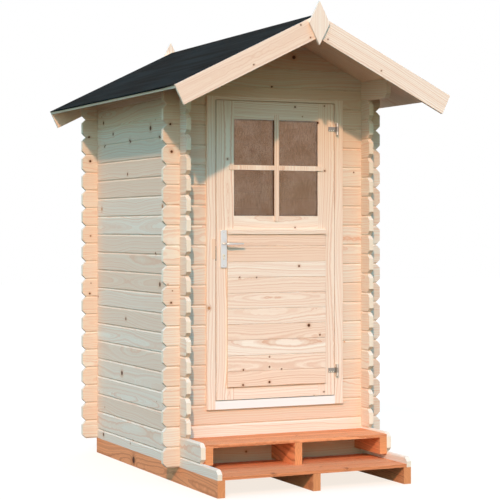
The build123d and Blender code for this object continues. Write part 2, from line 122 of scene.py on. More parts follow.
def new_piece(name, rider, material, points, faces, slot=None, smooth=True):
    """One new mesh object that rides on a body. points is an array of corners, and faces one of the numbers
    of the corners round each face."""
    mesh = bpy.data.meshes.new(name)
    mesh.vertices.add(len(points))
    mesh.vertices.foreach_set("co", np.asarray(points, dtype=np.float32).ravel())
    sides = faces.shape[1]
    mesh.loops.add(faces.size)
    mesh.loops.foreach_set("vertex_index", faces.astype(np.int32).ravel())
    mesh.polygons.add(len(faces))
    mesh.polygons.foreach_set("loop_start", np.arange(0, faces.size, sides, dtype=np.int32))
    mesh.polygons.foreach_set("use_smooth", np.full(len(faces), smooth))
    mesh.update(calc_edges=True)
    mesh.validate()
    mesh.materials.append(material)
    piece = bpy.data.objects.new(name, mesh)
    bpy.context.scene.collection.objects.link(piece)
    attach(piece, rider)
    return piece


def skin(shape, rows, columns):
    """Corners and faces of the surface shape(u, v). u runs from 0 to 1 in rows steps and v once round in
    columns steps, so that the surface closes on itself. A ring that shrinks to a point closes an end."""
    u, v = np.meshgrid(np.linspace(0, 1, rows + 1), np.arange(columns) / columns, indexing="ij")
    points = np.stack(np.broadcast_arrays(*shape(u, v)), axis=-1).reshape(-1, 3)
    i, j = np.meshgrid(np.arange(rows), np.arange(columns), indexing="ij")
    k = (j + 1) % columns
    here, there = i * columns, (i + 1) * columns
    faces = np.stack([here + j, here + k, there + k, there + j], axis=-1)
    return points, faces.reshape(-1, 4)


def repeated(points, faces, places):
    """The same shape at several places, as one set of corners and faces."""
    places = np.asarray(places)
    many = (places[:, None, :] + points[None]).reshape(-1, 3)
    steps = np.arange(len(places))[:, None, None] * len(points)
    return many, (faces[None] + steps).reshape(-1, faces.shape[1])


def joined(*shapes):
    """Several sets of corners and faces as one."""
    points = np.concatenate([shape[0] for shape in shapes])
    starts = np.cumsum([0] + [len(shape[0]) for shape in shapes[:-1]])
    return points, np.concatenate([shape[1] + start for shape, start in zip(shapes, starts)])


def flipped(points, faces, axis, about=0.0):
    """A mirror image across the plane at about on an axis, with its faces turned to look outward again."""
    points = points.copy()
    points[:, axis] = 2 * about - points[:, axis]
    return points, faces[:, ::-1]


def screw_head(radius, rise):
    """A screw head that looks along -Y. Its height over the seat falls as the square of the distance from
    the middle, and a square recess of a third of its radius is sunk into it."""
    def shape(u, v):
        reach = np.interp(u, [0.0, 0.34, 0.35, 0.7, 0.94, 1.0], [0.0, 0.32, 0.36, 0.75, 1.0, 1.0])
        height = rise * (1 - 0.55 * reach ** 2) * (u < 1)
        height = np.where(u < 0.35, height - 0.9 * rise, height)
        angle = 2 * np.pi * v
        square = np.where(u < 0.35, 1 / np.maximum(np.abs(np.cos(angle)), np.abs(np.sin(angle))), 1.0)
        return radius * reach * square * np.cos(angle), -height, radius * reach * square * np.sin(angle)
    return skin(shape, 12, 12)


def oblong(half_width, half_height, thick, edge):
    """A rounded oblong plate that looks along -Y with its back at y = 0: the eighteenth-power oval of its
    size, drawn in by a quarter round along the edge of its face."""
    def shape(u, v):
        angle = 2 * np.pi * v
        sweep = np.interp(u, [0.0, 0.2, 0.7, 0.95, 1.0], [0.0, 0.0, np.pi / 2, np.pi / 2, np.pi / 2])
        inset = edge * (1 - np.sin(sweep))
        shrink = np.interp(u, [0.0, 0.2, 0.95, 1.0], [0.0, 1.0, 1.0, 0.0])
        power = 2 / 18
        x = (half_width - inset) * np.sign(np.cos(angle)) * np.abs(np.cos(angle)) ** power * shrink
        z = (half_height - inset) * np.sign(np.sin(angle)) * np.abs(np.sin(angle)) ** power * shrink
        side = np.interp(u, [0.7, 0.95, 1.0], [1.0, 0.0, 0.0])
        return x, -np.where(u < 0.7, thick - edge * (1 - np.cos(sweep)), (thick - edge) * side), z
    return skin(shape, 20, 64)


# ---- Timber ----
AXES = {"X": 0, "Y": 1, "Z": 2}
RING_SPACING = millimetres(11.0)  # spruce rings are 2 to 4 mm apart, drawn coarser so that they show
YEARS = millimetres(6)  # a run of darker years, as wide as it is on slow-grown spruce
FIBRE_WIDTH = millimetres(1.5)  # fibres are finer than this, drawn coarser so that they show
KNOT_CELL = millimetres(150)  # one possible knot in each patch this wide
KNOT_CHANCE = 0.22  # share of those patches that hold a knot where the wood is knotty
KNOT_BULGE = millimetres(14)  # how far the rings bulge round a knot
RING_WAVE = millimetres(4)  # how far a ring strays from its true round
TRUNK = 40.0  # metres of trunk that the boards are cut from, so that no two look alike
PITH_SPREAD = 0.26  # the pith lies within half of this of a board's middle, in metres
PITH_SWAY = 0.10  # how far the pith line strays sideways, in metres
PITH_DIP = 0.06  # how far it strays inward, in metres


def board_pitch(low, high, axis, boards, gap):
    """Distance from one board to the next, where a number of boards with a gap in millimetres between them
    fill a box along an axis."""
    return (high[axis] - low[axis] + millimetres(gap)) / boards


def timber(name, axes, cover, start, middle, seed, look, turn=(0.0, 0.0, 0.0), knots=1.0, swing=1.0,
           chosen=()):
    """Sawn and planed wood. axes names the directions along the boards, across them and through them, after
    the pattern is turned by turn. A board is a row of width cover, counted from start, and middle is how far
    its face lies from the origin. Each gets its own piece of the tree, drawn with seed: the rings are the
    distance from a pith line that lies behind the board and wanders along it, and runs of darker years
    follow them. Knots are round patches: knots is the share of scattered ones, and chosen lists the others
    as metres along, metres across and millimetres of radius. The rings bulge round each knot. swing is how
    far the pith wanders, so a small one gives straight grain."""
    material, tree = new_material(name)
    place = add(tree, "ShaderNodeTexCoord")
    turned = add(tree, "ShaderNodeMapping", {"Vector": place.outputs["Object"], "Rotation": turn})
    split = add(tree, "ShaderNodeSeparateXYZ", {0: turned})
    along, across, through = (split.outputs[AXES[axis]] for axis in axes)

    row_place = add(tree, "ShaderNodeMath", {0: across, 1: 1 / cover, 2: -start / cover},
                    operation="MULTIPLY_ADD")
    row = add(tree, "ShaderNodeMath", {0: row_place}, operation="FLOOR")
    part = add(tree, "ShaderNodeMath", {0: row_place}, operation="FRACT")
    board_v = add(tree, "ShaderNodeMath", {0: part, 1: cover, 2: -cover / 2}, operation="MULTIPLY_ADD")
    side = add(tree, "ShaderNodeMath", {0: through}, operation="ABSOLUTE")
    board_w = add(tree, "ShaderNodeMath", {0: side, 1: middle}, operation="SUBTRACT")
    key = add(tree, "ShaderNodeMath", {0: row, 1: seed}, operation="ADD")
    chance = add(tree, "ShaderNodeTexWhiteNoise", {"W": key}, noise_dimensions="1D")
    draw = add(tree, "ShaderNodeSeparateXYZ", {0: chance.outputs["Color"]})
    board_u = add(tree, "ShaderNodeMath", {0: chance.outputs["Value"], 1: TRUNK, 2: along},
                  operation="MULTIPLY_ADD")

    # The pith line, and how it wanders.
    line = add(tree, "ShaderNodeCombineXYZ", {0: board_u, 1: key})
    wander = add(tree, "ShaderNodeTexNoise", {"Vector": line, "Scale": 1.1, "Detail": 1.5},
                 noise_dimensions="2D")
    drift = add(tree, "ShaderNodeSeparateXYZ", {0: wander.outputs["Color"]})
    pith_v = add(tree, "ShaderNodeMath", {0: drift.outputs[0], 1: PITH_SWAY * swing, 2: board_v},
                 operation="MULTIPLY_ADD")
    pith_off = add(tree, "ShaderNodeMath", {
        0: draw.outputs[0], 1: PITH_SPREAD, 2: -PITH_SPREAD / 2 - PITH_SWAY / 2 * swing},
                   operation="MULTIPLY_ADD")
    ring_v = add(tree, "ShaderNodeMath", {0: pith_v, 1: pith_off}, operation="ADD")
    pith_w = add(tree, "ShaderNodeMath", {0: drift.outputs[1], 1: PITH_DIP * swing, 2: board_w},
                 operation="MULTIPLY_ADD")
    pith_back = add(tree, "ShaderNodeMath", {0: draw.outputs[1], 1: 0.05, 2: 0.01}, operation="MULTIPLY_ADD")
    ring_w = add(tree, "ShaderNodeMath", {0: pith_w, 1: pith_back}, operation="ADD")
    across_tree = add(tree, "ShaderNodeCombineXYZ", {0: ring_v, 1: ring_w})
    distance = add(tree, "ShaderNodeVectorMath", {0: across_tree}, operation="LENGTH")

    # Knots.
    row_shift = add(tree, "ShaderNodeMath", {0: key, 1: 3.7, 2: board_v}, operation="MULTIPLY_ADD")
    flat = add(tree, "ShaderNodeCombineXYZ", {0: board_u, 1: row_shift})
    cells = add(tree, "ShaderNodeTexVoronoi", {"Vector": flat, "Scale": 1 / KNOT_CELL},
                voronoi_dimensions="2D")
    cell = add(tree, "ShaderNodeSeparateXYZ", {0: cells.outputs["Color"]})
    present = add(tree, "ShaderNodeMath", {0: cell.outputs[0], 1: KNOT_CHANCE * knots}, operation="LESS_THAN")
    size_draw = add(tree, "ShaderNodeMath", {0: cell.outputs[1], 1: 3.0}, operation="POWER")
    knot_size = add(tree, "ShaderNodeMath", {0: size_draw, 1: 0.05, 2: 0.02}, operation="MULTIPLY_ADD")
    size_here = add(tree, "ShaderNodeMath", {0: knot_size, 1: present}, operation="MULTIPLY")
    closeness = add(tree, "ShaderNodeMath", {0: size_here, 1: cells.outputs["Distance"]}, operation="DIVIDE")
    face = add(tree, "ShaderNodeCombineXYZ", {0: along, 1: across})
    picked = None
    for far, high, radius in chosen:
        away = add(tree, "ShaderNodeVectorMath", {0: face, 1: (far, high, 0.0)}, operation="DISTANCE")
        share = add(tree, "ShaderNodeMath", {0: millimetres(radius), 1: away}, operation="DIVIDE")
        picked = add(tree, "ShaderNodeMath", {0: share, 1: picked}, operation="MAXIMUM") if picked else share
    if picked:
        closeness = add(tree, "ShaderNodeMath", {0: closeness, 1: picked}, operation="MAXIMUM")
    knot = add(tree, "ShaderNodeMapRange", {0: closeness, 1: 0.85, 2: 1.2}, interpolation_type="SMOOTHSTEP")
    swirl = add(tree, "ShaderNodeMapRange", {0: closeness, 1: 0.2, 2: 0.95}, interpolation_type="SMOOTHSTEP")

    # Rings: pale early wood that darkens slowly to late wood and starts again.
    bulge = add(tree, "ShaderNodeMath", {0: swirl, 1: KNOT_BULGE, 2: distance}, operation="MULTIPLY_ADD")
    rough_edge = add(tree, "ShaderNodeTexNoise", {"Vector": flat, "Scale": 24.0, "Detail": 3.0},
                     noise_dimensions="2D")
    uneven = add(tree, "ShaderNodeMath", {0: rough_edge, 1: RING_WAVE, 2: bulge}, operation="MULTIPLY_ADD")
    density = add(tree, "ShaderNodeMapRange", {
        0: draw.outputs[0], 3: 0.8 / RING_SPACING, 4: 1.6 / RING_SPACING})
    count = add(tree, "ShaderNodeMath", {0: uneven, 1: density}, operation="MULTIPLY")
    phase = add(tree, "ShaderNodeMath", {0: count}, operation="FRACT")
    late = add(tree, "ShaderNodeMath", {0: phase, 1: 5.0}, operation="POWER")
    years = add(tree, "ShaderNodeMath", {0: uneven, 1: 1 / YEARS, 2: key}, operation="MULTIPLY_ADD")
    dark_years = add(tree, "ShaderNodeTexNoise", {"W": years, "Scale": 1.0, "Detail": 2.0, "Roughness": 0.6},
                     noise_dimensions="1D")
    years_share = add(tree, "ShaderNodeMapRange", {0: dark_years, 1: 0.42, 2: 0.72, 3: 0.0, 4: look["years"]})

    # Fibres: noise drawn out along the board.
    stretched = add(tree, "ShaderNodeCombineXYZ", {0: board_u, 1: row_shift, 2: through})
    fine = add(tree, "ShaderNodeVectorMath", {0: stretched, 1: (5.0, 1 / FIBRE_WIDTH, 1 / FIBRE_WIDTH)},
               operation="MULTIPLY")
    fibre = add(tree, "ShaderNodeTexNoise", {"Vector": fine, "Scale": 1.0, "Detail": 2.0})
    broad = add(tree, "ShaderNodeVectorMath", {0: stretched, 1: (0.9, 26.0, 26.0)}, operation="MULTIPLY")
    streak = add(tree, "ShaderNodeTexNoise", {"Vector": broad, "Scale": 1.0, "Detail": 3.0})

    # Colour.
    tone = add(tree, "ShaderNodeMix", {0: draw.outputs[2], 1: look["pale"], 2: look["warm"]},
               data_type="RGBA")
    streaky = add(tree, "ShaderNodeMapRange", {0: streak, 1: 0.4, 2: 0.75, 3: 0.0, 4: 0.6})
    toned = add(tree, "ShaderNodeMix", {0: streaky, 1: tone, 2: look["warm"]}, data_type="RGBA")
    ring_look = add(tree, "ShaderNodeMapRange", {
        0: dark_years, 1: 0.3, 2: 0.7, 3: 0.25 * look["rings"], 4: 1.5 * look["rings"]})
    ring_share = add(tree, "ShaderNodeMath", {0: late, 1: ring_look}, operation="MULTIPLY")
    ringed = add(tree, "ShaderNodeMix", {0: ring_share, 1: toned, 2: look["late"]}, data_type="RGBA")
    yeared = add(tree, "ShaderNodeMix", {0: years_share, 1: ringed, 2: look["late"]}, data_type="RGBA")
    fibre_share = add(tree, "ShaderNodeMapRange", {0: fibre, 1: 0.45, 2: 0.8, 3: 0.0, 4: 0.35})
    fibred = add(tree, "ShaderNodeMix", {0: fibre_share, 1: yeared, 2: look["late"]}, data_type="RGBA")
    halo_share = add(tree, "ShaderNodeMath", {0: swirl, 1: 0.5}, operation="MULTIPLY")
    haloed = add(tree, "ShaderNodeMix", {0: halo_share, 1: fibred, 2: look["halo"]}, data_type="RGBA")
    darkness = add(tree, "ShaderNodeMath", {0: cell.outputs[2], 1: picked or 0.0}, operation="MAXIMUM",
                   use_clamp=True)
    knot_tone = add(tree, "ShaderNodeMix", {0: darkness, 1: look["halo"], 2: look["knot"]}, data_type="RGBA")
    knotted = add(tree, "ShaderNodeMix", {0: knot, 1: haloed, 2: knot_tone}, data_type="RGBA")
    facing = add(tree, "ShaderNodeSeparateXYZ", {0: place.outputs["Normal"]})
    end_on = add(tree, "ShaderNodeMath", {0: facing.outputs[AXES[axes[0]]]}, operation="ABSOLUTE")
    end = add(tree, "ShaderNodeMapRange", {0: end_on, 1: 0.6, 2: 0.95, 3: 0.0, 4: 0.6})
    ended = add(tree, "ShaderNodeMix", {0: end, 1: knotted, 2: look["end"]}, data_type="RGBA")

    # Relief and sheen.
    height = add(tree, "ShaderNodeMath", {0: fibre, 1: 0.5, 2: late}, operation="MULTIPLY_ADD")
    bump = add(tree, "ShaderNodeBump", {"Height": height, "Strength": 0.25, "Distance": 0.0004})
    sheen = add(tree, "ShaderNodeMapRange", {0: late, 1: 0.0, 2: 1.0, 3: 0.68, 4: 0.55})
    surface = add(tree, "ShaderNodeBsdfPrincipled", {
        "Base Color": ended, "Roughness": sheen, "Normal": bump, "IOR": 1.45, "Specular IOR Level": 0.2})
    add(tree, "ShaderNodeOutputMaterial", {"Surface": surface})
    return material


def planed_spruce(logs=False):
    """Untreated Nordic spruce, planed: creamy with a peach cast, low grain contrast and small dark knots.
    The logs come from older, greyer wood than the boards and the joinery."""
    colours = bpy.context.scene.outhouse_wood
    return {"pale": tuple(colours.log_pale if logs else colours.spruce_pale),
            "warm": tuple(colours.log_warm if logs else colours.spruce_warm),
            "late": tuple(colours.spruce_late), "halo": linear("#C48E63"), "knot": linear("#5A3622"),
            "end": linear("#FBEFD8"), "rings": 0.6, "years": 0.45}


def treated_pine():
    """Pressure-treated pine with a brown stain: red-brown, strong late wood, nearly black knots."""
    colours = bpy.context.scene.outhouse_wood
    return {"pale": tuple(colours.treated_pale), "warm": tuple(colours.treated_warm),
            "late": linear("#A85C34"), "halo": linear("#8A4C2C"), "knot": linear("#4A2A1A"),
            "end": linear("#DB9460"), "rings": 0.5, "years": 0.6}


class OuthouseWood(bpy.types.PropertyGroup):
    """Colours of the timber."""

    spruce_pale: FloatVectorProperty(
        name="Spruce, pale", description="Early wood of the palest boards", subtype="COLOR", size=3,
        min=0.0, max=1.0, default=linear("#FEF6E8"))
    spruce_warm: FloatVectorProperty(
        name="Spruce, warm", description="Early wood of the warmest boards", subtype="COLOR", size=3,
        min=0.0, max=1.0, default=linear("#F9E0CA"))
    log_pale: FloatVectorProperty(
        name="Logs, pale", description="Early wood of the palest logs", subtype="COLOR", size=3,
        min=0.0, max=1.0, default=linear("#EAE6D8"))
    log_warm: FloatVectorProperty(
        name="Logs, warm", description="Early wood of the warmest logs", subtype="COLOR", size=3,
        min=0.0, max=1.0, default=linear("#E7D4BF"))
    spruce_late: FloatVectorProperty(
        name="Spruce, late wood", description="Dark side of each growth ring", subtype="COLOR", size=3,
        min=0.0, max=1.0, default=linear("#DFB092"))
    treated_pale: FloatVectorProperty(
        name="Treated pine, pale", description="Early wood of the steps and joists", subtype="COLOR", size=3,
        min=0.0, max=1.0, default=linear("#FFB381"))
    treated_warm: FloatVectorProperty(
        name="Treated pine, warm", description="Darkest early wood of the steps and joists", subtype="COLOR",
        size=3, min=0.0, max=1.0, default=linear("#EE9A69"))


class OuthouseRoofing(bpy.types.PropertyGroup):
    """The felt on the roof."""

    felt_colour: FloatVectorProperty(
        name="Felt", description="Colour of the bitumen felt", subtype="COLOR", size=3, min=0.0, max=1.0,
        default=linear("#0C1315"))


class OuthouseDoor(bpy.types.PropertyGroup):
    """Glass, glazing bead and paint of the door."""

    glass_tint: FloatVectorProperty(
        name="Pane", description="Tint of each face of the pane", subtype="COLOR", size=3, min=0.0, max=1.0,
        default=linear("#B0A494"))
    glass_film: FloatVectorProperty(
        name="Film", description="What the film on the pane mirrors", subtype="COLOR", size=3, min=0.0,
        max=1.0, default=linear("#584B40"))
    glass_haze: FloatVectorProperty(
        name="Film haze", description="The paler clouds in the film", subtype="COLOR", size=3, min=0.0,
        max=1.0, default=linear("#71675F"))
    bead_size: FloatProperty(
        name="Bead", description="Width of the glazing bead", default=0.009, min=0.004, max=0.012,
        subtype="DISTANCE", unit="LENGTH")
    threshold_paint: FloatVectorProperty(
        name="Threshold", description="Paint on the threshold", subtype="COLOR", size=3, min=0.0, max=1.0,
        default=linear("#F4F3F0"))


class OuthouseStudio(bpy.types.PropertyGroup):
    """The key light and the sky."""

    sun_strength: FloatProperty(
        name="Key light", description="Strength of the key light", default=2.43, min=0.0)
    sky_strength: FloatProperty(
        name="Sky", description="Strength of the even light", default=1.0, min=0.0)
    sun_height: FloatProperty(
        name="Key height", description="Height of the key light above the horizon", subtype="ANGLE",
        default=math.radians(32.6), min=0.0, max=math.pi / 2)
    sun_bearing: FloatProperty(
        name="Key bearing", description="How far the key light is turned from straight in front to the left",
        subtype="ANGLE", default=math.radians(30.3), min=-math.pi, max=math.pi)


class OUTHOUSE_OT_walls(bpy.types.Operator):
    """Gives the log walls their planed spruce"""

    bl_idname = "outhouse.walls"
    bl_label = "Log walls"

    def execute(self, context):
        look = planed_spruce(logs=True)
        half = BASE + LOG_COVER / 2
        wall = abs(FRONT) - LOG_THICKNESS / 2
        side = SIDE - LOG_THICKNESS / 2
        # The same run of logs shows its larger knots on the tails of both gable walls.
        tails = ((-0.647, 1.88, 8), (-0.654, 2.035, 6), (-0.65, 1.027, 6), (-0.642, 1.094, 3))
        front = timber(
            "planed_spruce_front_logs", "XZY", LOG_COVER, BASE, wall, 11.5, look, knots=0.3,
            chosen=(*tails, (0.123, 2.447, 11), (0.58, 1.91, 4), (0.52, 1.78, 4), (-0.02, 2.27, 5)))
        back = timber(
            "planed_spruce_back_logs", "XZY", LOG_COVER, BASE, wall, 57.5, look, knots=0.3, chosen=tails)
        left = timber(
            "planed_spruce_left_logs", "YZX", LOG_COVER, half, side, 91.5, look, knots=0.5, chosen=(
                (0.57, 2.12, 10), (0.39, 2.04, 9), (-0.26, 2.04, 14), (-0.4, 1.98, 8), (0.09, 1.98, 11),
                (0.55, 1.97, 8), (0.13, 1.78, 8), (-0.34, 1.3, 7), (-0.41, 1.12, 13), (0.16, 0.89, 9),
                (0.23, 0.55, 14), (0.57, 0.13, 11)))
        right = timber(
            "planed_spruce_right_logs", "YZX", LOG_COVER, half, side, 133.5, look, knots=0.8)
        dress(front, "front_wall_bottom_a", "front_wall_bottom_b", "front_wall_left_a", "front_wall_left_b",
              "front_wall_right_a", "front_wall_right_b", "front_gable_a", "front_gable_b")
        dress(back, "back_wall_a", "back_wall_b")
        dress(left, "left_wall_a", "left_wall_b", "sill_logs", "step_logs", "eave_logs")
        dress(right, "right_wall_a", "right_wall_b")
        return {"FINISHED"}


class OUTHOUSE_OT_steps(bpy.types.Operator):
    """Gives the joists, steps and bearers their treated pine, and the floor its spruce"""

    bl_idname = "outhouse.steps"
    bl_label = "Steps and floor"

    def execute(self, context):
        look = treated_pine()
        # Joists, spacers and bearers all lie within one row of 0.3 m, so each is a board of its own.
        dress(timber("treated_pine_joists", "YZX", 0.3, -0.1, 0.59, 201.5, look, knots=0.3,
                     chosen=((0.025, 0.039, 20),)), "joists", "tread_spacers", "floor_bearers")
        streaked = dict(look, years=0.9)
        # Boards in each tread, and the places along it of the knots near its front edge.
        for name, boards, seed, places in (
            ("lower_tread", 4, 223.5, (-0.26, 0.189)),
            ("upper_tread", 3, 241.5, ()),
        ):
            low, high = box(name)
            knots = [(x, low[1] + millimetres(14), 10) for x in places]
            dress(timber(f"treated_pine_{name}", "XYZ", board_pitch(low, high, 1, boards, 5), low[1], high[2],
                         seed, streaked, knots=0.5, swing=0.5, chosen=knots), name)
        low, high = box("floor_boards")
        dress(timber("planed_spruce_floor", "XYZ", board_pitch(low, high, 1, 14, 3), low[1], high[2], 263.5,
                     planed_spruce()), "floor_boards")
        return {"FINISHED"}


GRIT_COUNT = 700.0  # grains of mineral in a metre of felt, about 1.4 mm each


class OUTHOUSE_OT_roof(bpy.types.Operator):
    """Gives the roof boards, bargeboards and finials their spruce, and the felt its mineral face"""

    bl_idname = "outhouse.roof"
    bl_label = "Roof"

    def execute(self, context):
        look = planed_spruce()
        low, high = box("roof_boards_right")
        pitch = board_pitch(low, high, 1, 22, 1)
        felt_low, felt_high = box("roofing_felt")
        slope = math.atan2(felt_high[2] - felt_low[2], felt_high[0])
        ridge = felt_high[2]
        for word, sign, seed, chosen in (
            ("left", -1, 301.5, ((-0.391, 2.33), (-0.107, 2.56), (-0.048, 2.494))),
            ("right", 1, 331.5, ((0.397, 2.33), (0.066, 2.571), (0.06, 2.489))),
        ):
            # The pattern is turned with the slope, and the boards then lie flat at one level.
            turn = (0.0, -sign * slope, 0.0)
            cosine, sine = math.cos(slope), sign * math.sin(slope)
            level = ridge * cosine - millimetres(12)
            dress(timber(f"planed_spruce_roof_boards_{word}", "XYZ", pitch, low[1], level, seed, look, turn),
                  f"roof_boards_{word}")
            # Knots are given as they hang, across and up, and turned with the slope here.
            along = [(x * cosine - z * sine, x * sine + z * cosine, 4) for x, z in chosen]
            dress(timber(f"planed_spruce_bargeboard_{word}", "XZY", 0.2, level - 0.15, 1.25, seed + 7, look,
                         turn, knots=0.15, swing=0.25, chosen=along), f"bargeboards_{word}")
        dress(timber("planed_spruce_finials", "ZXY", 0.3, -0.15, 1.27, 351.5, look, knots=0.2, swing=0.4),
              "finials")
        dress(timber("planed_spruce_purlin", "YXZ", 0.3, -0.15, 2.5, 357.5, look), "ridge_purlin")

        # Bitumen felt with a mineral face: matt grit, and cloudy streaks along the eaves, the way it is
        # unrolled.
        material, tree = new_material("mineral_felt")
        place = add(tree, "ShaderNodeTexCoord")
        grit = add(tree, "ShaderNodeTexNoise", {
            "Vector": place.outputs["Object"], "Scale": GRIT_COUNT, "Detail": 2.0})
        lengthwise = add(tree, "ShaderNodeVectorMath", {0: place.outputs["Object"], 1: (22.0, 1.6, 22.0)},
                         operation="MULTIPLY")
        streak = add(tree, "ShaderNodeTexNoise", {"Vector": lengthwise, "Scale": 1.0, "Detail": 4.0})
        tone = add(tree, "ShaderNodeMapRange", {0: streak, 1: 0.38, 2: 0.68, 3: 0.0, 4: 0.6})
        felt = tuple(context.scene.outhouse_roofing.felt_colour)
        colour = add(tree, "ShaderNodeMix", {0: tone, 1: felt, 2: linear("#1E2B2E")}, data_type="RGBA")
        bump = add(tree, "ShaderNodeBump", {"Height": grit, "Strength": 0.5, "Distance": 0.001})
        surface = add(tree, "ShaderNodeBsdfPrincipled", {
            "Base Color": colour, "Roughness": 0.95, "Specular IOR Level": 0.02, "Normal": bump})
        add(tree, "ShaderNodeOutputMaterial", {"Surface": surface})
        dress(material, "roofing_felt")

        # The felt is turned down over the ends of the roof boards. The turned edge is a flat strip, rounded
        # along its lower edge: v goes round its section and u runs along the eave.
        drop, thick = millimetres(5), millimetres(3)
        foot = np.array([felt_high[0] - thick * math.sin(slope), felt_low[2]])
        outward = np.array([math.cos(slope), -math.sin(slope)])
        upward = np.array([math.sin(slope), math.cos(slope)])

        def drip(u, v):
            out = np.interp(v, [0.0, 0.2, 0.5, 0.6, 0.7, 1.0], [0.0, 0.0, 0.0, 0.5, 1.0, 1.0]) - 1
            up = np.interp(v, [0.0, 0.2, 0.5, 0.6, 0.7, 0.8, 1.0], [0.1, -0.5, -0.93, -1.0, -0.93, -0.5, 0.1])
            ends = np.interp(u, [0.0, 0.3, 0.7, 1.0], [0.0, 1.0, 1.0, 0.0])
            middle_out, middle_up = -0.5, -0.4
            out = thick * (middle_out + (out - middle_out) * ends)
            up = drop * (middle_up + (up - middle_up) * ends)
            y = np.interp(u, [0.0, 0.3, 0.7, 1.0], [felt_low[1], felt_low[1], felt_high[1], felt_high[1]])
            return foot[0] + out * outward[0] + up * upward[0], y, foot[1] + out * outward[1] + up * upward[1]

        right = skin(drip, 3, 20)
        new_piece("felt_drips", "building", material, *joined(right, flipped(*right, 0)), "roofing_felt",
                  smooth=False)
        return {"FINISHED"}


